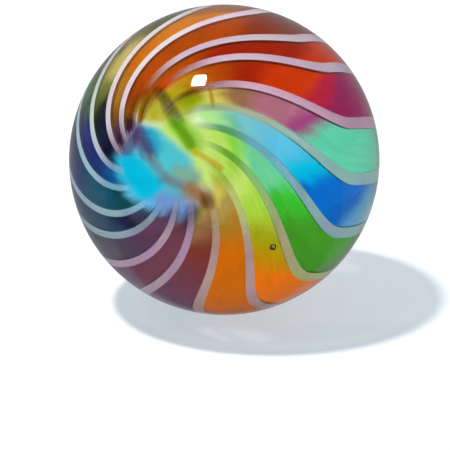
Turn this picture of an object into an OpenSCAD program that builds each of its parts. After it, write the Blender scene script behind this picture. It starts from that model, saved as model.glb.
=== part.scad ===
// Glass marble with a twisted skin of coloured bands and white threads.
//
// The ball is clear glass. Close under its surface lies a thin skin of
// coloured glass: sixteen bands side by side, with a white thread along
// each seam. Bands and threads run from the front end of the twist to the
// back end. A clear eye is left in the skin at each end, and through the
// eyes the clear glass inside the skin joins the clear glass over it.
// All of it was fused while hot, so the pieces touch face to face.
//
// Sizes are in millimetres and degrees. The origin is the ball's centre,
// -Y is the front and +Z is up.

/* [Ball] */
// Diameter of the ball
ball_d = 44; // [36:0.5:54]
// Depth of clear glass over the coloured skin
casing = 3.2; // [2:0.1:6]

/* [Coloured skin] */
// Thickness of the bands and threads
skin_t = 0.8; // [0.4:0.1:1.6]
// Width of a white thread round the middle of the ball
thread_w = 1.5; // [0.6:0.1:2.4]
// Share of its stripe that a thread covers where it ends at an eye
tip_share = 0.36; // [0.2:0.02:0.6]
// Width of the clear eye at the front end of the twist
front_eye = 11; // [6:0.5:18]
// Width of the clear eye at the back end of the twist
back_eye = 12; // [6:0.5:18]

/* [Twist] */
// Turn of the stripes from the middle of the ball to the front eye
front_twist = 77; // [0:1:120]
// Turn of the stripes from the middle of the ball to the back eye
back_twist = 7; // [0:1:60]
// How late the turn comes: 1 is even, more keeps the middle straight
lateness = 1.75; // [1:0.05:3]

/* [Lie of the ball] */
// Swing of the front eye to the left
eye_swing = 29; // [0:1:90]
// Rise of the front eye above level
eye_rise = 17; // [0:1:90]
// Roll of the stripes about their own axis
stripe_roll = 271; // [0:0.5:360]

/* [Hidden] */
// Each stripe: where its white thread lies round the middle, laid by hand
// and so a little uneven, and the name and colour of the band after it
STRIPES = [
    [  0.0, "orange_band", "darkorange"],
    [ 24.0, "tangerine_band", "orange"],
    [ 46.5, "green_band", "limegreen"],
    [ 68.5, "blue_band", "dodgerblue"],
    [ 90.5, "mint_band", "mediumaquamarine"],
    [112.5, "magenta_band", "mediumvioletred"],
    [136.5, "red_band", "red"],
    [152.5, "brown_band", "sienna"],
    [175.0, "amber_band", "goldenrod"],
    [195.0, "olive_band", "olivedrab"],
    [219.0, "navy_band", "navy"],
    [242.0, "teal_band", "teal"],
    [271.0, "slate_band", "slategray"],
    [291.5, "plum_band", "mediumorchid"],
    [315.0, "purple_band", "purple"],
    [336.0, "maroon_band", "maroon"],
];
stripes = len(STRIPES);
pitch = 360 / stripes;

function band_name(i) = STRIPES[i][1];
function thread_name(i) = str("white_thread_", i + 1);

// The skin lies between these two spheres
skin_r = ball_d / 2 - casing;
core_r = skin_r - skin_t;

// Angle from the front end of the axis to the rim of each eye
front_rim = asin(front_eye / 2 / skin_r);
back_rim = 180 - asin(back_eye / 2 / skin_r);

// Where the skin's round faces have their own poles: this far over and to
// the left of the front eye's middle, and opposite, with their seam turned
pole_over = 13;
pole_left = 1;
pole_seam = 45;

// Stripes are drawn from inside one eye to inside the other
steps = 28;
first_angle = front_rim * 0.7;
last_angle = 180 - (180 - back_rim) * 0.7;
function angle_at(j) = first_angle + (last_angle - first_angle) * j / steps;

// Cutters stand from well under the skin to well past it
depth = core_r * 0.8;
reach = skin_r * 1.3;

$fn = 120;

// How far along the way from the middle to an eye the angle t lies
function way(t) = t < 90 ? (90 - t) / (90 - front_rim)
                         : (t - 90) / (back_rim - 90);

// Turn of the stripes at the angle t from the front end of the axis
function turn(t) = (t < 90 ? front_twist : back_twist) * pow(way(t), lateness);

// Half of a thread's width at the angle t, as an angle round the axis
thread_half_mid = asin(thread_w / 2 / skin_r);
thread_half_tip = tip_share * pitch / 2;
function thread_half(t) =
    thread_half_mid + (thread_half_tip - thread_half_mid) * pow(way(t), 2);

// Place of a thread, counted past the last one for the band that closes
function place(i) = STRIPES[i % stripes][0] + 360 * floor(i / stripes);

// Point at the distance r from the ball's centre
function point_at(r, t, around) =
    r * [sin(t) * cos(around), sin(t) * sin(around), cos(t)];

// Cutter for one stripe: a twisted bar that stands out from under the skin
// to well past it, between two edges. Each edge is a thread's place and
// the side of it that is meant: 1 is its far side, -1 its near side.
module stripe_cutter(from, from_side, to, to_side) {
    rings = [
        for (j = [0 : steps])
            let (
                t = angle_at(j),
                half = thread_half(t),
                a = from + turn(t) + from_side * half,
                b = to + turn(t) + to_side * half
            )
                each [
                    point_at(depth, t, a),
                    point_at(reach, t, a),
                    point_at(reach, t, b),
                    point_at(depth, t, b)
                ]
    ];
    sides = [
        for (j = [0 : steps - 1])
            for (k = [0 : 3])
                let (a = 4 * j + k, b = 4 * j + (k + 1) % 4)
                    each [[a, b, a + 4], [b, b + 4, a + 4]]
    ];
    last = 4 * steps;
    ends = [
        [0, 2, 1], [0, 3, 2],
        [last, last + 1, last + 2], [last, last + 2, last + 3]
    ];
    polyhedron(points = rings, faces = concat(sides, ends), convexity = 6);
}

// Puts the axis of the twist where it lies in the ball
module as_it_lies() {
    rotate([90 - eye_rise, 0, -eye_swing])
        rotate([0, 0, stripe_roll])
            children();
}

// A face of the skin: a round form with its own poles a little off the middle
// of each eye, so that no band holds a pole
module skin_ball(r) {
    rotate([90 - eye_rise - pole_over, 0, -eye_swing - pole_left])
        rotate([0, 0, pole_seam])
            sphere(r = r);
}

// The whole coloured skin, open at both eyes
module skin() {
    difference() {
        skin_ball(skin_r);
        skin_ball(core_r);
        as_it_lies() {
            cylinder(d = front_eye, h = skin_r + 1);
            rotate([180, 0, 0]) cylinder(d = back_eye, h = skin_r + 1);
        }
    }
}

module clear_glass() {
    color("white", 0.3)
        difference() {
            sphere(d = ball_d);
            skin();
        }
}

module band(i) {
    color(STRIPES[i][2])
        intersection() {
            skin();
            as_it_lies() stripe_cutter(place(i), 1, place(i + 1), -1);
        }
}

module white_thread(i) {
    color("white")
        intersection() {
            skin();
            as_it_lies() stripe_cutter(place(i), -1, place(i), 1);
        }
}

clear_glass();
for (i = [0 : stripes - 1]) {
    band(i);
    white_thread(i);
}
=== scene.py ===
from math import asin, atan, cos, pi, radians, sin

import bmesh
import bpy
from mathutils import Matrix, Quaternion, Vector


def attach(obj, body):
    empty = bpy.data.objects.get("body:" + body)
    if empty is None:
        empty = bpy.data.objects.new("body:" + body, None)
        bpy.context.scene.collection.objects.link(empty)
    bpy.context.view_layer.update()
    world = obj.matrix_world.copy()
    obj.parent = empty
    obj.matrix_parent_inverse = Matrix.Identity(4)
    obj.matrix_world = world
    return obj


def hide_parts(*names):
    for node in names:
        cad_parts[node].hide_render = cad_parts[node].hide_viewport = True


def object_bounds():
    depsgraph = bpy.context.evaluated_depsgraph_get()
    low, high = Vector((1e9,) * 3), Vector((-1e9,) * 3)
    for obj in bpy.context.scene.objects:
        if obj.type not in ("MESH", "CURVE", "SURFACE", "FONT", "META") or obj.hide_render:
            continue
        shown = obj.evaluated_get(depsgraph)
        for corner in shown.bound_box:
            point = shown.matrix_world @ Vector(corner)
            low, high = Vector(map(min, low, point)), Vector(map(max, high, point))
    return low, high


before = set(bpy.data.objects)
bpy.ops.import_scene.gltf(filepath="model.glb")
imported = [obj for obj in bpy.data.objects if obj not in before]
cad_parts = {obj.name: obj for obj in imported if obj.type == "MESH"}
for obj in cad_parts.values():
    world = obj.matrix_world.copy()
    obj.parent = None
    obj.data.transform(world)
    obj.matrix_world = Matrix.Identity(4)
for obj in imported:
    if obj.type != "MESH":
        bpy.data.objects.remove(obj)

CAD_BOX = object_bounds()

# ---------------------------------------------------------------- sizes
# Metres and radians, in the part's own frame. What the solids show is
# read from them, and the rest repeats the named values of the source.

ball_r = (CAD_BOX[1].z - CAD_BOX[0].z) / 2


def reach_of(node):
    """How near to the ball's centre and how far from it a solid comes."""
    away = [v.co.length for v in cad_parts[node].data.vertices]
    return min(away), max(away)


core_r, skin_r = reach_of("orange_band")

thread_w = 0.0015
tip_share = 0.36
front_eye = 0.011
back_eye = 0.012
front_twist = radians(77)
back_twist = radians(7)
lateness = 1.75
eye_swing = radians(29)
eye_rise = radians(17)
stripe_roll = radians(271)

# Where the white threads lie round the middle, and the band after each
STRIPES = [
    (0.0, "orange"),
    (24.0, "tangerine"),
    (46.5, "green"),
    (68.5, "blue"),
    (90.5, "mint"),
    (112.5, "magenta"),
    (136.5, "red"),
    (152.5, "brown"),
    (175.0, "amber"),
    (195.0, "olive"),
    (219.0, "navy"),
    (242.0, "teal"),
    (271.0, "slate"),
    (291.5, "plum"),
    (315.0, "purple"),
    (336.0, "maroon"),
]

thread_half_mid = asin(thread_w / 2 / skin_r)
thread_half_tip = tip_share * pi / len(STRIPES)

# ---------------------------------------------------------------- camera
# The lens is long and looks down at the ball from in front.

FRAME_PX = 450
eye_height = radians(19)
camera_far = 0.6
ball_px = 155.3
ball_px_left = 0.8
ball_px_up = 65.2


def make_camera():
    data = bpy.data.cameras.new("camera")
    half_view = ball_r / camera_far
    px_to_tan = half_view / (1 - half_view**2) ** 0.5 / ball_px
    data.sensor_width = 36
    data.lens = data.sensor_width / FRAME_PX / px_to_tan
    data.clip_start = 0.01
    data.clip_end = 20
    camera = bpy.data.objects.new("camera", data)
    camera.location = (0, -camera_far * cos(eye_height), camera_far * sin(eye_height))
    tilt = pi / 2 - eye_height - atan(ball_px_up * px_to_tan)
    camera.rotation_euler = (tilt, 0, -atan(ball_px_left * px_to_tan))
    bpy.context.scene.collection.objects.link(camera)
    bpy.context.scene.camera = camera


make_camera()

# ---------------------------------------------------------------- nodes


class Wire:
    """An output of a node. Sums written with wires add Math nodes."""

    def __init__(self, tree, socket):
        self.tree = tree
        self.socket = socket

    def math(self, operation, *values):
        inputs = dict(enumerate(values))
        return add(self.tree, "ShaderNodeMath", {"operation": operation}, inputs)

    def __add__(self, other):
        return self.math("ADD", self, other)

    def __radd__(self, other):
        return self.math("ADD", other, self)

    def __sub__(self, other):
        return self.math("SUBTRACT", self, other)

    def __rsub__(self, other):
        return self.math("SUBTRACT", other, self)

    def __mul__(self, other):
        return self.math("MULTIPLY", self, other)

    def __rmul__(self, other):
        return self.math("MULTIPLY", other, self)

    def __truediv__(self, other):
        return self.math("DIVIDE", self, other)

    def __pow__(self, other):
        return self.math("POWER", self, other)

    def __lt__(self, other):
        return self.math("LESS_THAN", self, other)

    def __gt__(self, other):
        return self.math("GREATER_THAN", self, other)

    def most(self, other):
        return self.math("MAXIMUM", self, other)

    def least(self, other):
        return self.math("MINIMUM", self, other)

    def held(self):
        """Kept between 0 and 1."""
        return self.most(0).least(1)

    def sine(self):
        return self.math("SINE", self)

    def cosine(self):
        return self.math("COSINE", self)

    def arcsine(self):
        return self.math("ARCSINE", self)


def add(tree, kind, settings=None, inputs=None, output=0):
    """A new node: its settings first, then its inputs, and the wire out."""
    node = tree.nodes.new(kind)
    for name, value in (settings or {}).items():
        if name == "stops":
            fill_ramp(node.color_ramp, value)
        elif name == "interpolation":
            node.color_ramp.interpolation = value
        else:
            setattr(node, name, value)
    for name, value in (inputs or {}).items():
        if isinstance(value, Wire):
            tree.links.new(value.socket, node.inputs[name])
        elif value is not None:
            node.inputs[name].default_value = value
    return Wire(tree, node.outputs[output]) if len(node.outputs) else node


def mixed_colour(tree, share, first, second):
    """A colour between two others, each a wire or three numbers."""
    ends = [c if isinstance(c, Wire) else (*c, 1) for c in (first, second)]
    return add(
        tree, "ShaderNodeMix", {"data_type": "RGBA"}, {0: share, 6: ends[0], 7: ends[1]}, 2
    )


def on_vectors(tree, operation, *values, output="Vector", **sockets):
    """A Vector Math node on its first inputs and on sockets by name."""
    inputs = {**dict(enumerate(values)), **sockets}
    return add(tree, "ShaderNodeVectorMath", {"operation": operation}, inputs, output)


def one_part(tree, vector, axis):
    """The X, Y or Z of a vector."""
    return add(tree, "ShaderNodeSeparateXYZ", None, {"Vector": vector}, axis)


def own_place(tree):
    """Where a point of the piece lies in the part's own frame."""
    return add(tree, "ShaderNodeTexCoord", None, None, "Object")


def stored(tree, name, output="Fac"):
    """A value that the piece's geometry nodes stored on its mesh."""
    return add(tree, "ShaderNodeAttribute", {"attribute_name": name}, None, output)


def noise(tree, vector, scale, detail, output="Fac"):
    inputs = {"Vector": vector, "Scale": scale, "Detail": detail}
    return add(tree, "ShaderNodeTexNoise", None, inputs, output)


def principled(tree, shade, roughness, index, transmission, **more):
    """Plain or tinted glass. The names of more inputs have _ for a space."""
    inputs = {
        "Base Color": shade,
        "Roughness": roughness,
        "IOR": index,
        "Transmission Weight": transmission,
    }
    inputs.update((name.replace("_", " "), value) for name, value in more.items())
    return add(tree, "ShaderNodeBsdfPrincipled", None, inputs)


def fill_ramp(ramp, stops):
    """Sets a ramp's stops, each a place from 0 to 1 and a colour."""
    while len(ramp.elements) > 1:
        ramp.elements.remove(ramp.elements[-1])
    for i, (place, colour) in enumerate(stops):
        stop = ramp.elements[0] if i == 0 else ramp.elements.new(place)
        stop.position = place
        stop.color = (*colour, 1)


def colour(code):
    """A colour as written on a screen, in the light's own numbers."""
    parts = [int(code[i : i + 2], 16) / 255 for i in (1, 3, 5)]
    return tuple(c / 12.92 if c <= 0.04045 else ((c + 0.055) / 1.055) ** 2.4 for c in parts)


def new_material(name):
    material = bpy.data.materials.new(name)
    material.use_nodes = True
    material.node_tree.nodes.clear()
    return material, material.node_tree


def finish_material(tree, surface):
    add(tree, "ShaderNodeOutputMaterial", None, {"Surface": surface})


# ---------------------------------------------------------------- stage

floor_half = 0.35
floor_share = 0.73
floor_gloss = 0.1
floor_rough = 0.12
FLOOR_TINT = (0.86, 1.0, 1.08)
# All the light that the floor shows, glow and paper together
floor_shown = 1.12

LAMP_WAY = Vector((-0.33, -0.115, 0.937)).normalized()
LAMP_TINT = (1.03, 0.985, 0.965)
lamp_far = 1.0
lamp_side = 0.075
lamp_share = 0.72

# The bright face that the ball mirrors: a painted highlight, which lights nothing
PANE_WAY = Vector((-0.27, -0.15, 0.951)).normalized()
pane_side = 0.15
pane_turn = radians(45)
pane_glow = 420

# Painted dark reflections all round, a faint glow that only the ball's polish shows, and
# the bare sheet left in it under the ball
TENT_TINT = (0.95, 0.96, 0.98)
tent_r = 1.4
tent_low = -0.2
tent_parts = 32
tent_glow = 0.14
tent_lift = 0.0002
sheet_r = 0.004
# The painted reflection is paler behind the ball: on the floor from here on, and in the
# dome from this share of the way round to the back
back_glow = 0.24
floor_reach = 0.001
back_floor_from = -0.0085
back_floor_fade = 0.003
back_dome_from = 0.55
back_dome_fade = 0.35

SKY_TINT = (0.93, 1.0, 1.05)
sky_share = 0.3


def seen_rays(tree):
    """1 for what the camera, a reflection or the glass shows, else 0."""
    path = tree.nodes.new("ShaderNodeLightPath")
    seen = Wire(tree, path.outputs["Is Camera Ray"])
    seen = seen.most(Wire(tree, path.outputs["Is Glossy Ray"]))
    return seen.most(Wire(tree, path.outputs["Is Transmission Ray"]))


def make_floor():
    """A white sheet with a slight polish, which keeps a pale shadow."""
    material, tree = new_material("floor")
    grey = (floor_share, floor_share, floor_share, 1)
    paper = add(tree, "ShaderNodeBsdfDiffuse", None, {"Color": grey})
    polish = {"Color": (1, 1, 1, 1), "Roughness": floor_rough}
    gloss = add(tree, "ShaderNodeBsdfGlossy", None, polish)
    plain = add(tree, "ShaderNodeMixShader", None, {0: floor_gloss, 1: paper, 2: gloss})
    strength = seen_rays(tree) * (floor_shown - floor_share * (1 - floor_gloss))
    light = {"Color": (*FLOOR_TINT, 1), "Strength": strength}
    glow = add(tree, "ShaderNodeEmission", None, light)
    finish_material(tree, add(tree, "ShaderNodeAddShader", None, {0: plain, 1: glow}))
    mesh = bpy.data.meshes.new("floor")
    half = floor_half
    corners = [(-half, -half), (half, -half), (half, half), (-half, half)]
    mesh.from_pydata([(x, y, CAD_BOX[0].z) for x, y in corners], [], [(0, 1, 2, 3)])
    mesh.materials.append(material)
    floor = bpy.data.objects.new("floor", mesh)
    bpy.context.scene.collection.objects.link(floor)


def make_lamp():
    data = bpy.data.lights.new("lamp", "AREA")
    data.shape = "SQUARE"
    data.size = lamp_side
    data.color = LAMP_TINT
    data.energy = lamp_share * pi * pi * lamp_far**2 / LAMP_WAY.z
    lamp = bpy.data.objects.new("lamp", data)
    lamp.location = LAMP_WAY * lamp_far
    lamp.rotation_euler = LAMP_WAY.to_track_quat("Z", "Y").to_euler()
    lamp.visible_transmission = False
    lamp.visible_glossy = False
    bpy.context.scene.collection.objects.link(lamp)


def mirrored_only(tree, shader):
    """The shader for what a polished face mirrors, and nothing for the rest."""
    path = tree.nodes.new("ShaderNodeLightPath")
    mirrored = Wire(tree, path.outputs["Is Glossy Ray"])
    mirrored = mirrored - Wire(tree, path.outputs["Is Transmission Ray"])
    clear = add(tree, "ShaderNodeBsdfTransparent")
    return add(tree, "ShaderNodeMixShader", None, {0: mirrored.held(), 1: clear, 2: shader})


def stage_piece(name, mesh, material):
    """A piece of the studio that only the polish of the ball shows."""
    mesh.materials.append(material)
    piece = bpy.data.objects.new(name, mesh)
    piece.visible_camera = False
    piece.visible_diffuse = False
    piece.visible_shadow = False
    bpy.context.scene.collection.objects.link(piece)


def make_pane():
    """A painted highlight: the softbox's bright face, which only the ball's
    polish shows and which lights nothing.
    """
    material, tree = new_material("pane")
    light = {"Color": (1, 1, 1, 1), "Strength": pane_glow}
    # A painted highlight: only mirrored rays see this glow
    bright = add(tree, "ShaderNodeEmission", None, light)
    finish_material(tree, mirrored_only(tree, bright))
    turn = PANE_WAY.to_track_quat("Z", "Y") @ Quaternion((0, 0, 1), pane_turn)
    half = pane_side / 2
    corners = [(-half, -half), (-half, half), (half, half), (half, -half)]
    places = [PANE_WAY * lamp_far + turn @ Vector((x, y, 0)) for x, y in corners]
    mesh = bpy.data.meshes.new("pane")
    mesh.from_pydata(places, [], [(0, 1, 2, 3)])
    stage_piece("pane", mesh, material)


def make_painted_dark_reflections():
    """Painted dark reflections over the ball and round the white sheet it lies on.

    Only the ball's polish shows their faint glow. It is paler behind the ball,
    which keeps the ball's rim light.
    """
    material, tree = new_material("painted_dark_reflections")
    place = own_place(tree)
    on_floor = one_part(tree, place, "Z") < CAD_BOX[0].z + floor_reach
    back = one_part(tree, place, "Y")
    on_floor = on_floor * ((back - back_floor_from) / back_floor_fade).held()
    back = one_part(tree, on_vectors(tree, "NORMALIZE", place), "Y")
    behind = ((back - back_dome_from) / back_dome_fade).held().most(on_floor)
    strength = tent_glow + back_glow * behind
    light = {"Color": (*TENT_TINT, 1), "Strength": strength}
    # A faint glow that only mirrored rays see: the painted dark reflection in the ball's
    # rim
    dark_mirror_glow = add(tree, "ShaderNodeEmission", None, light)
    finish_material(tree, mirrored_only(tree, dark_mirror_glow))
    shape = bmesh.new()
    bmesh.ops.create_uvsphere(
        shape, u_segments=tent_parts, v_segments=tent_parts, radius=tent_r
    )
    low = [v for v in shape.verts if v.co.z < tent_low]
    bmesh.ops.delete(shape, geom=low, context="VERTS")
    floor_z = CAD_BOX[0].z + tent_lift
    turns = [i * 2 * pi / tent_parts for i in range(tent_parts)]
    outer, inner = (
        [shape.verts.new((radius * cos(a), radius * sin(a), floor_z)) for a in turns]
        for radius in (tent_r, sheet_r)
    )
    for i in range(tent_parts):
        j = (i + 1) % tent_parts
        shape.faces.new((outer[i], outer[j], inner[j], inner[i]))
    mesh = bpy.data.meshes.new("painted_dark_reflections")
    shape.to_mesh(mesh)
    shape.free()
    stage_piece("painted_dark_reflections", mesh, material)


def make_world():
    world = bpy.data.worlds.new("studio")
    bpy.context.scene.world = world
    world.use_nodes = True
    tree = world.node_tree
    tree.nodes.clear()
    light = {"Color": (*SKY_TINT, 1), "Strength": sky_share}
    sky = add(tree, "ShaderNodeBackground", None, light)
    plain = {"Color": (1, 1, 1, 1), "Strength": 1}
    white = add(tree, "ShaderNodeBackground", None, plain)
    both = add(tree, "ShaderNodeMixShader", None, {0: seen_rays(tree), 1: sky, 2: white})
    add(tree, "ShaderNodeOutputWorld", None, {"Surface": both})


make_floor()
make_lamp()
make_pane()
make_painted_dark_reflections()
make_world()

bpy.context.scene.view_settings.view_transform = "Standard"

# ---------------------------------------------------------------- tones

# Glass tones as they look in the finished ball
TONES = {
    "water": "#ffffff",
    "periwinkle": "#6285b5",
    "lemon": "#a49c00",
    "pale lime": "#b4cc62",
    "grass": "#9cc23c",
    "olive gold": "#98980c",
    "gold": "#b48404",
    "straw": "#c4b050",
    "sand": "#c4b064",
    "honey": "#c08c18",
    "khaki": "#a08844",
    "bronze": "#a4701c",
    "umber": "#804c0c",
    "clay": "#88603c",
    "burnt orange": "#c06202",
    "orange": "#c0600c",
    "tangerine": "#dc6c04",
    "amber": "#d07606",
    "rust": "#a84204",
    "brown": "#802c08",
    "cocoa": "#783824",
    "fire": "#b83006",
    "red": "#941e04",
    "crimson": "#a01c30",
    "wine": "#801e4a",
    "rose": "#a06070",
    "orchid": "#8c3868",
    "lake": "#50a8c4",
    "pale green": "#98d488",
    "sea green": "#62b886",
    "leaf": "#34a828",
    "forest": "#3c8c20",
    "moss": "#48783c",
    "mint": "#55b290",
    "ice": "#b0d69c",
    "aqua": "#70b0b4",
    "sky": "#50b8dc",
    "cyan": "#02a4c2",
    "azure": "#1c8aa8",
    "sapphire": "#045cac",
    "denim": "#145e88",
    "steel": "#5090b4",
    "pine": "#0e4246",
    "teal": "#165060",
    "royal": "#101f70",
    "deep blue": "#122e68",
    "navy": "#0c2c68",
    "ink": "#161c38",
    "black green": "#1c2018",
    "olive": "#686e22",
    "slate": "#2a465e",
    "dusk": "#4a4254",
    "plum": "#583450",
    "violet": "#62405c",
    "purple": "#683848",
    "maroon": "#743028",
    "parrot": "#84b428",
    "mist": "#d4e0bc",
    "lagoon": "#44acb4",
    "jade": "#6c9682",
    "pewter": "#606c74",
    "nightshade": "#46345c",
    "bronze green": "#5c5404",
    "fern": "#5c8c14",
    "mustard": "#b49c08",
    "white": "#dedae0",
    "blush": "#e4c6c4",
    "pearl": "#ccc6cc",
    "frost": "#cce0d8",
    "lilac": "#d4b4cc",
    "reed": "#a8b060",
    "fern grey": "#7aa860",
    "sea grey": "#6098a8",
    "sage grey": "#98a088",
    "pale straw": "#e0cc68",
    "sage": "#d8e4a0",
    "pale aqua": "#b0e0e0",
    "pale blue": "#b8dcf0",
    "mauve": "#dcc6d8",
    "milk pink": "#ecd6ee",
    "milk grey": "#f0e8e8",
    "milk cream": "#f2eee8",
}


paler = 1.25
palest = 0.98


def tone(word):
    """A tone, mixed paler by what the clear glass and the far side take."""
    return tuple(min(c * paler, palest) for c in colour(TONES[word]))


# Strokes of colour round the back end: from, to, half width, how far the
# edge fades out, and tone
POOLS = [
    ((-2.3, 17.4, -5.4), (-1.1, 17.5, -5.5), 2.24, 1.30, "pale lime"),
    ((-5.9, 16.3, -6.3), (-4.1, 16.0, -8.1), 0.79, 0.74, "sky"),
    ((-4.7, 16.9, -5.5), (-2.7, 16.4, -7.9), 0.69, 0.69, "lagoon"),
    ((-4.3, 17.6, -3.0), (-2.1, 18.1, -2.5), 0.89, 0.78, "lemon"),
    ((-2.7, 17.8, -3.8), (-1.8, 17.6, -5.1), 0.53, 0.70, "parrot"),
    ((-1.3, 18.0, -3.4), (-0.0, 18.0, -3.6), 0.58, 0.82, "mist"),
    ((-4.2, 17.3, -4.9), (-2.8, 17.1, -6.2), 0.92, 0.69, "lagoon"),
    ((-2.6, 17.0, -6.6), (-1.9, 17.0, -6.9), 0.53, 0.70, "jade"),
    ((-5.8, 16.5, -5.7), (-4.3, 16.3, -7.3), 0.80, 0.64, "cyan"),
    ((-4.3, 17.3, -4.5), (-4.1, 17.2, -5.1), 0.45, 0.56, "azure"),
    ((-3.4, 16.1, -8.2), (-2.2, 16.0, -8.8), 0.74, 0.74, "periwinkle"),
    ((-3.4, 16.8, -6.8), (-2.2, 16.7, -7.5), 0.29, 0.52, "pewter"),
    ((-5.7, 16.7, -5.2), (-5.1, 17.2, -4.3), 0.36, 0.46, "nightshade"),
    ((-5.0, 17.4, -3.9), (-4.3, 17.0, -5.6), 0.32, 0.40, "nightshade"),
    ((-4.3, 17.0, -5.6), (-3.4, 16.8, -6.8), 0.17, 0.34, "pewter"),
    ((-3.4, 17.9, -2.3), (-2.7, 17.8, -3.7), 0.34, 0.34, "bronze green"),
    ((-2.7, 17.8, -3.7), (-2.0, 17.6, -5.1), 0.29, 0.35, "fern"),
    ((-1.8, 17.5, -5.5), (-0.2, 17.2, -6.4), 0.15, 0.18, "mustard"),
    ((-0.9, 18.3, -1.9), (-0.7, 18.2, -2.8), 0.13, 0.23, "mustard"),
    ((-1.9, 16.6, -7.6), (-1.1, 16.5, -8.2), 0.53, 0.70, "clay"),
]

# ---------------------------------------------------------------- glass

IOR = 1.5
# Index of the coloured glass beside the clear glass: none of its own
NO_BEND = 1.0
polish_shine = 0.2
wave_scale = 60
wave_strength = 0.02
wave_height = 0.0002
# Shares of the lamp's light that the ball and its skin let through. The
# ball does so only where the light falls steeply, and stops it elsewhere, where real glass
# would bend it aside.
lit_share = 0.94
skin_lit_share = 0.45
steep_facing = 0.52
steep_fade = 0.07
# Tinted glass keeps a trace of haze, and the milky threads far more
band_clear = 0.985
thin_clear = 0.97
milk_clear = 0.28
milk_rough = 0.5
milk_patches = 90
# Waviness of the strokes of colour at the back
pool_scale = 420
pool_shift = 0.0006
# The height stored on a strip is 0 or 1 to within this, but on its side walls
wall_edge = 0.001
# How the tones of a band run: cloudy edges, drawn out slantwise, and
# streaks along the band that fade towards both eyes. The noise of both is
# drawn out by its lengths along and across the band.
cloud_along = 7
cloud_across = 2
cloud_scale = 1.6
cloud_shift = 0.04
# How far apart the clouds of two bands lie for each letter of their names
cloud_step = 3.1
streak_along = 10
streak_across = 7
streak_scale = 1.3
slant_from = 0.2
slant_fade = 0.15
slant_size = 0.09
streak_depth = 0.45
streak_from = 0.25


def clear_glass():
    """Polished clear glass, with the faintest waviness of the lathe."""
    material, tree = new_material("clear_glass")
    waves = noise(tree, own_place(tree), wave_scale, 1)
    size = {"Strength": wave_strength, "Distance": wave_height, "Height": waves}
    bump = add(tree, "ShaderNodeBump", None, size)
    shine = (polish_shine, polish_shine, polish_shine, 1)
    glass = principled(tree, (1, 1, 1, 1), 0.0, IOR, 1, Specular_Tint=shine, Normal=bump)
    facing = add(tree, "ShaderNodeLayerWeight", None, {"Blend": 0.5}, "Facing")
    steep = ((steep_facing - facing) / steep_fade).held()
    finish_material(tree, lit_through(tree, glass, lit_share, steep))
    return material


def lit_through(tree, glass, share, where=1):
    """Glass that lets a share of the lamp's light pass to what is behind."""
    path = tree.nodes.new("ShaderNodeLightPath")
    shadow = Wire(tree, path.outputs["Is Shadow Ray"]) * where
    grey = {"Color": (share, share, share, 1)}
    through = add(tree, "ShaderNodeBsdfTransparent", None, grey)
    return add(tree, "ShaderNodeMixShader", None, {0: shadow, 1: glass, 2: through})


def pool_tree():
    """Strokes of colour that ran together at the back end of the twist.

    Each lies on the skin from one place to another, in millimetres from the
    ball's centre, and its edge fades out all round.
    """
    tree = bpy.data.node_groups.new("pools", "ShaderNodeTree")
    tree.interface.new_socket("Color", in_out="OUTPUT", socket_type="NodeSocketColor")
    place = own_place(tree)
    waves = noise(tree, place, pool_scale, 2, "Color")
    shift = on_vectors(tree, "SUBTRACT", waves, (0.5, 0.5, 0.5))
    shift = on_vectors(tree, "SCALE", shift, Scale=pool_shift)
    place = on_vectors(tree, "NORMALIZE", place)
    place = on_vectors(tree, "SCALE", place, Scale=(core_r + skin_r) / 2)
    place = on_vectors(tree, "ADD", place, shift)
    shown = add(tree, "ShaderNodeRGB")
    shown.socket.default_value = (*tone("water"), 1)
    for start, end, half, fade, word in POOLS:
        start = Vector(start) / 1000
        run = Vector(end) / 1000 - start
        from_start = on_vectors(tree, "SUBTRACT", place, start)
        share = on_vectors(tree, "DOT_PRODUCT", from_start, run, output="Value")
        share = (share / run.length_squared).held()
        nearest = on_vectors(tree, "SCALE", run, Scale=share)
        away = on_vectors(tree, "DISTANCE", from_start, nearest, output="Value")
        there = (half / 1000 - away) / (fade / 1000) + 0.5
        soft = {"interpolation_type": "SMOOTHSTEP"}
        there = add(tree, "ShaderNodeMapRange", soft, {"Value": there, "To Max": 1.0})
        shown = mixed_colour(tree, there, shown, tone(word))
    add(tree, "NodeGroupOutput", None, {"Color": shown})
    return tree


def pooled(tree, shade):
    """The shade where the strokes of colour lie over it."""
    pools = add(tree, "ShaderNodeGroup", {"node_tree": bpy.data.node_groups["pools"]})
    return on_vectors(tree, "MULTIPLY", shade, pools)


def clear_walls(tree, shade):
    """The shade on the outer and inner face, and none on the side walls.

    Light that slips from one strip into the next then takes one tint only.
    """
    wall = stored(tree, "wall")
    on_wall = (wall > wall_edge) * (wall < 1 - wall_edge)
    return mixed_colour(tree, on_wall, shade, (1, 1, 1))


def coloured_glass(name, tones):
    """Coloured glass, its tone changing along the band from end to end."""
    material, tree = new_material(name)
    along = stored(tree, "along")
    across = stored(tree, "across")
    narrowing = (along * pi).sine()
    flow = {"X": along * cloud_along, "Y": across * cloud_across}
    flow["Z"] = len(name) * cloud_step
    clouds = noise(tree, add(tree, "ShaderNodeCombineXYZ", None, flow), cloud_scale, 2)
    slant = (across - 0.5) * ((along - slant_from) / slant_fade).held() * slant_size
    ramp = add(
        tree,
        "ShaderNodeValToRGB",
        {
            "stops": [(degrees / 180, tone(word)) for degrees, word in tones],
            "interpolation": "EASE",
        },
        {"Fac": along + (clouds - 0.5) * cloud_shift - slant},
    )
    grain = {"X": along * streak_along, "Y": across * narrowing * streak_across}
    streaks = noise(tree, add(tree, "ShaderNodeCombineXYZ", None, grain), streak_scale, 3)
    depth = 1 + (streaks - 0.5) * (narrowing - streak_from).held() * streak_depth
    shade = pooled(tree, on_vectors(tree, "SCALE", ramp, Scale=depth))
    glass = principled(tree, clear_walls(tree, shade), 0.0, NO_BEND, band_clear)
    finish_material(tree, lit_through(tree, glass, skin_lit_share))
    return material


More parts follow.
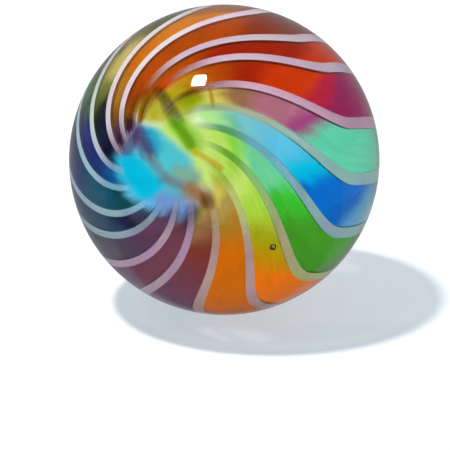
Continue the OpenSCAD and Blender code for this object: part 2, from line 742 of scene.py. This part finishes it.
def white_glass():
    """Milky white glass of the threads, which thins out towards both eyes."""
    material, tree = new_material("white_glass")
    patches = noise(tree, own_place(tree), milk_patches, 2)
    whites = [(0.35, "milk pink"), (0.5, "milk grey"), (0.65, "milk cream")]
    stops = [(place, colour(TONES[word])) for place, word in whites]
    ramp = add(tree, "ShaderNodeValToRGB", {"stops": stops}, {"Fac": patches})
    tint = stored(tree, "tint", "Color")
    shade = on_vectors(tree, "MULTIPLY", ramp, tint)
    milk = principled(tree, shade, milk_rough, NO_BEND, milk_clear)
    shade = clear_walls(tree, pooled(tree, tint))
    thin = principled(tree, shade, 0.0, NO_BEND, thin_clear)
    share = stored(tree, "milk")
    mixed = add(tree, "ShaderNodeMixShader", None, {0: share, 1: thin, 2: milk})
    finish_material(tree, lit_through(tree, mixed, skin_lit_share))
    return material


# ---------------------------------------------------------------- pieces

BUBBLE_AT = Vector((0.00650, -0.01827, -0.00601))
bubble_r = 0.00048
ball_splits = 6
bubble_splits = 4


def ball_of_glass():
    """The clear ball, polished, with one gas bubble left in its casing."""
    shape = bmesh.new()
    bmesh.ops.create_icosphere(shape, subdivisions=ball_splits, radius=ball_r)
    for vert in shape.verts:
        vert.co = vert.co.normalized() * ball_r
    bubble = bmesh.ops.create_icosphere(shape, subdivisions=bubble_splits, radius=bubble_r)
    bubble = bubble["verts"]
    walls = {face for vert in bubble for face in vert.link_faces}
    bmesh.ops.translate(shape, verts=bubble, vec=BUBBLE_AT)
    bmesh.ops.reverse_faces(shape, faces=list(walls))
    for face in shape.faces:
        face.smooth = True
    mesh = bpy.data.meshes.new("glass_ball")
    shape.to_mesh(mesh)
    shape.free()
    mesh.materials.append(clear_glass())
    ball = bpy.data.objects.new("glass_ball", mesh)
    bpy.context.scene.collection.objects.link(ball)
    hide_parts("clear_glass")
    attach(ball, "root")


ALONG_STEPS = 96
ROUND_STEPS = 20
# Shares of the way round a strip's section: a face, then a side wall
face_share = 0.4
wall_share = 0.1
# Where a thread takes its front tone, and where it thins out at the back
tint_from = radians(19)
tint_fade = radians(10)
thin_from = radians(118)
thin_fade = radians(12)
weld = 1e-7
sharp = radians(50)

STRIP_INPUTS = {
    "From": 0.0,
    "From Side": 1.0,
    "To": 0.4,
    "To Side": -1.0,
    "Inner Radius": core_r,
    "Outer Radius": skin_r,
    "Gap": 0.000002,
    "Front Eye": front_eye,
    "Back Eye": back_eye,
    "Front Twist": front_twist,
    "Back Twist": back_twist,
    "Lateness": lateness,
    "Half At Middle": thread_half_mid,
    "Half At Tip": thread_half_tip,
    "Roll": stripe_roll,
    "Milk Start": radians(18),
    "Milk Full": radians(30),
    "Front Tint": (1.0, 1.0, 1.0, 1.0),
    "Side Tint": (1.0, 1.0, 1.0, 1.0),
}


def strip_tree():
    """Geometry nodes for one stripe of the skin: a closed, twisted strip.

    A flat grid is wrapped round the strip's own section, one side of the
    grid running along the stripe and the other once round its four faces.
    """
    tree = bpy.data.node_groups.new("twisted_strip", "GeometryNodeTree")
    tree.interface.new_socket("Geometry", in_out="OUTPUT", socket_type="NodeSocketGeometry")
    for name, value in STRIP_INPUTS.items():
        kind = "NodeSocketFloat" if isinstance(value, float) else "NodeSocketColor"
        socket = tree.interface.new_socket(name, in_out="INPUT", socket_type=kind)
        socket.default_value = value
    tree.interface.new_socket("Material", in_out="INPUT", socket_type="NodeSocketMaterial")
    given = tree.nodes.new("NodeGroupInput")
    size = {name: Wire(tree, given.outputs[name]) for name in STRIP_INPUTS}
    finish = Wire(tree, given.outputs["Material"])

    rows = ALONG_STEPS + 2
    cells = {"Vertices X": ROUND_STEPS + 1, "Vertices Y": rows + 1}
    cells.update({"Size X": 1.0, "Size Y": 1.0})
    grid = add(tree, "GeometryNodeMeshGrid", None, cells, "Mesh")
    flat = add(tree, "GeometryNodeInputPosition")
    loop = one_part(tree, flat, "X") + 0.5
    row = (one_part(tree, flat, "Y") + 0.5) * rows

    # Round the section: over the outer face, down a wall, back, and up
    over = (loop / face_share).held() - ((loop - 0.5) / face_share).held()
    lifted = 1 - ((loop - face_share) / wall_share).held()
    lifted = lifted + ((loop - (0.5 + face_share)) / wall_share).held()
    # The first and last row of the grid shrink to the middle of each end
    cap = (row < 0.5).most(row > rows - 0.5)
    over = over * (1 - cap) + 0.5 * cap
    lifted = lifted * (1 - cap) + 0.5 * cap
    run = ((row - 1) / ALONG_STEPS).held()

    radius = size["Inner Radius"] + (size["Outer Radius"] - size["Inner Radius"]) * lifted
    first = (size["Front Eye"] / 2 / radius).arcsine()
    last = pi - (size["Back Eye"] / 2 / radius).arcsine()
    lean = first + (last - first) * run

    front_first = (size["Front Eye"] / 2 / size["Outer Radius"]).arcsine()
    back_last = pi - (size["Back Eye"] / 2 / size["Outer Radius"]).arcsine()
    to_front = (pi / 2 - lean) / (pi / 2 - front_first)
    to_back = (lean - pi / 2) / (back_last - pi / 2)
    way = to_front.most(to_back)
    in_front = lean < pi / 2
    twist = size["Front Twist"] * in_front + size["Back Twist"] * (1 - in_front)
    turn = twist * way ** size["Lateness"] + size["Roll"]
    widening = size["Half At Tip"] - size["Half At Middle"]
    half = size["Half At Middle"] + widening * way**2

    air = size["Gap"] / (radius * lean.sine())
    start = size["From"] + size["From Side"] * half + air
    end = size["To"] + size["To Side"] * half - air
    around = turn + start + (end - start) * over

    place = add(
        tree,
        "ShaderNodeCombineXYZ",
        None,
        {
            "X": radius * lean.sine() * around.cosine(),
            "Y": radius * lean.sine() * around.sine(),
            "Z": radius * lean.cosine(),
        },
    )
    # Threads take their front tone near the front eye, turn milky further
    # on, and thin out to clear near the back eye
    milk = (lean - size["Milk Start"]) / (size["Milk Full"] - size["Milk Start"])
    milk = milk.held() ** 2 * (3 - milk.held() * 2)
    back = ((lean - thin_from) / thin_fade).held()
    early = ((lean - tint_from) / tint_fade).held()
    tint = mixed_colour(tree, early, tone("water"), size["Front Tint"])
    tint = mixed_colour(tree, milk, tint, size["Side Tint"])
    tint = mixed_colour(tree, back, tint, tone("water"))
    made = grid
    for name, value, kind in (
        ("along", lean / pi, "FLOAT"),
        ("across", over, "FLOAT"),
        ("wall", lifted, "FLOAT"),
        ("milk", milk * (1 - back), "FLOAT"),
        ("tint", tint, "FLOAT_COLOR"),
    ):
        made = add(
            tree,
            "GeometryNodeStoreNamedAttribute",
            {"data_type": kind, "domain": "POINT"},
            {"Geometry": made, "Name": name, "Value": value},
        )
    made = add(tree, "GeometryNodeSetPosition", None, {"Geometry": made, "Position": place})
    lying = (pi / 2 - eye_rise, 0, -eye_swing)
    made = add(tree, "GeometryNodeTransform", None, {"Geometry": made, "Rotation": lying})
    loose = {"Geometry": made, "Distance": weld}
    made = add(tree, "GeometryNodeMergeByDistance", None, loose)
    made = add(tree, "GeometryNodeSetShadeSmooth", None, {"Geometry": made})
    bend = add(tree, "GeometryNodeInputMeshEdgeAngle")
    made = add(
        tree,
        "GeometryNodeSetShadeSmooth",
        {"domain": "EDGE"},
        {"Geometry": made, "Shade Smooth": bend < sharp},
    )
    made = add(tree, "GeometryNodeRealizeInstances", None, {"Geometry": made})
    bare = {"Geometry": made, "Material": finish}
    made = add(tree, "GeometryNodeSetMaterial", None, bare)
    add(tree, "NodeGroupOutput", None, {"Geometry": made})
    return tree


def strip(tree, name, material, **sizes):
    """One stripe as a plain mesh, made by the tree with its own sizes."""
    piece = bpy.data.objects.new(name, bpy.data.meshes.new(name + "_start"))
    bpy.context.scene.collection.objects.link(piece)
    modifier = piece.modifiers.new("twisted_strip", "NODES")
    modifier.node_group = tree
    keys = {s.name: s.identifier for s in tree.interface.items_tree}
    for size_name, value in sizes.items():
        modifier[keys[size_name.replace("_", " ")]] = value
    modifier[keys["Material"]] = material
    looked_at = piece.evaluated_get(bpy.context.evaluated_depsgraph_get())
    mesh = bpy.data.meshes.new_from_object(looked_at)
    piece.modifiers.remove(modifier)
    piece.data = mesh
    mesh.name = name
    shape = bmesh.new()
    shape.from_mesh(mesh)
    bmesh.ops.recalc_face_normals(shape, faces=shape.faces)
    shape.to_mesh(mesh)
    shape.free()
    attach(piece, "root")
    return piece


# The tones of each band, by the angle from the front end of the twist. The
# front eye's rim is at 17 degrees and the back eye's at 161.
BANDS = {
    "orange": [
        (17, "water"), (21, "water"), (28, "straw"), (33, "khaki"), (41, "bronze"),
        (50, "burnt orange"), (110, "orange"), (135, "amber"), (150, "water"),
    ],
    "tangerine": [
        (17, "water"), (21, "water"), (27, "mist"), (34, "pale lime"), (43, "grass"),
        (55, "olive gold"), (64, "gold"), (75, "tangerine"), (120, "tangerine"),
        (145, "water"),
    ],
    "green": [
        (17, "water"), (20, "water"), (27, "mist"), (33, "pale green"), (40, "sea green"),
        (47, "sea green"), (55, "leaf"), (70, "forest"), (95, "forest"), (112, "moss"),
        (145, "water"),
    ],
    "blue": [
        (17, "water"), (20, "water"), (27, "ice"), (37, "aqua"), (52, "lake"), (62, "cyan"),
        (72, "sapphire"), (92, "sapphire"), (105, "steel"), (145, "water"),
    ],
    "mint": [
        (17, "water"), (20, "water"), (27, "pale lime"), (34, "straw"), (42, "clay"),
        (50, "rose"), (56, "rose"), (63, "orchid"), (73, "mint"), (120, "mint"),
        (145, "water"),
    ],
    "magenta": [
        (17, "water"), (22, "water"), (28, "pale straw"), (33, "honey"), (42, "rust"),
        (52, "red"), (62, "fire"), (72, "fire"), (80, "crimson"), (90, "wine"),
        (120, "wine"), (147, "water"),
    ],
    "red": [
        (17, "water"), (19, "umber"), (26, "bronze"), (33, "rust"), (42, "rust"),
        (53, "red"), (80, "red"), (90, "fire"), (125, "fire"), (147, "water"),
    ],
    "brown": [
        (17, "water"), (19, "plum"), (24, "umber"), (31, "rust"), (50, "rust"),
        (66, "rust"), (80, "brown"), (95, "cocoa"), (120, "cocoa"), (145, "water"),
    ],
    "amber": [
        (17, "water"), (20, "plum"), (24, "plum"), (29, "umber"), (39, "bronze"),
        (48, "burnt orange"), (62, "amber"), (80, "amber"), (115, "bronze"), (145, "water"),
    ],
    "olive": [
        (17, "water"), (19, "water"), (25, "ink"), (34, "ink"), (40, "black green"),
        (47, "olive"), (54, "sand"), (63, "sand"), (75, "olive"), (115, "grass"),
        (140, "pale lime"), (155, "water"),
    ],
    "navy": [
        (17, "water"), (18, "water"), (25, "denim"), (33, "navy"), (39, "royal"),
        (47, "royal"), (55, "moss"), (90, "moss"), (112, "deep blue"), (131, "water"),
    ],
    "teal": [
        (17, "water"), (18, "water"), (25, "pine"), (34, "teal"), (42, "teal"),
        (50, "deep blue"), (75, "deep blue"), (104, "teal"), (118, "aqua"), (131, "water"),
    ],
    "slate": [
        (17, "water"), (19, "water"), (24, "dusk"), (33, "ink"), (42, "slate"),
        (60, "slate"), (80, "slate"), (106, "slate"), (118, "sky"), (131, "water"),
    ],
    "plum": [
        (17, "water"), (19, "water"), (25, "violet"), (33, "plum"), (50, "dusk"),
        (110, "dusk"), (131, "water"),
    ],
    "purple": [
        (17, "water"), (21, "water"), (29, "purple"), (55, "purple"), (70, "violet"),
        (110, "violet"), (131, "water"),
    ],
    "maroon": [
        (17, "water"), (21, "water"), (27, "khaki"), (34, "clay"), (42, "maroon"),
        (58, "purple"), (80, "violet"), (115, "purple"), (140, "water"),
    ],
}

# The tone of each thread at the front eye and at its side, and the angles
# between which it turns milky
THREADS = [
    ("khaki", "blush", 24, 58),
    ("reed", "blush", 36, 62),
    ("fern grey", "sage", 38, 66),
    ("sea grey", "pale aqua", 46, 68),
    ("sage grey", "pale aqua", 44, 70),
    ("clay", "lilac", 30, 50),
    ("rust", "pearl", 30, 50),
    ("rust", "pearl", 28, 46),
    ("violet", "white", 15, 32),
    ("dusk", "white", 15, 32),
    ("steel", "frost", 15, 34),
    ("steel", "pale aqua", 15, 36),
    ("steel", "pale blue", 15, 34),
    ("violet", "pale blue", 18, 40),
    ("violet", "mauve", 16, 34),
    ("clay", "mauve", 18, 38),
]


def make_skin():
    """The sixteen bands and the sixteen white threads on their seams."""
    pool_tree()
    tree = strip_tree()
    white = white_glass()
    places = [radians(place) for place, _ in STRIPES] + [2 * pi]
    for i, (place, word) in enumerate(STRIPES):
        band = strip(
            tree,
            word + "_glass_band",
            coloured_glass(word + "_glass", BANDS[word]),
            From=places[i],
            From_Side=1.0,
            To=places[i + 1],
            To_Side=-1.0,
        )
        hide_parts(word + "_band")
        front, side, milk_start, milk_full = THREADS[i]
        thread = strip(
            tree,
            "thread_%d" % (i + 1),
            white,
            From=places[i],
            From_Side=-1.0,
            To=places[i],
            To_Side=1.0,
            Milk_Start=radians(milk_start),
            Milk_Full=radians(milk_full),
            Front_Tint=(*tone(front), 1),
            Side_Tint=(*tone(side), 1),
        )
        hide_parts("white_thread_%d" % (i + 1))


ball_of_glass()
make_skin()
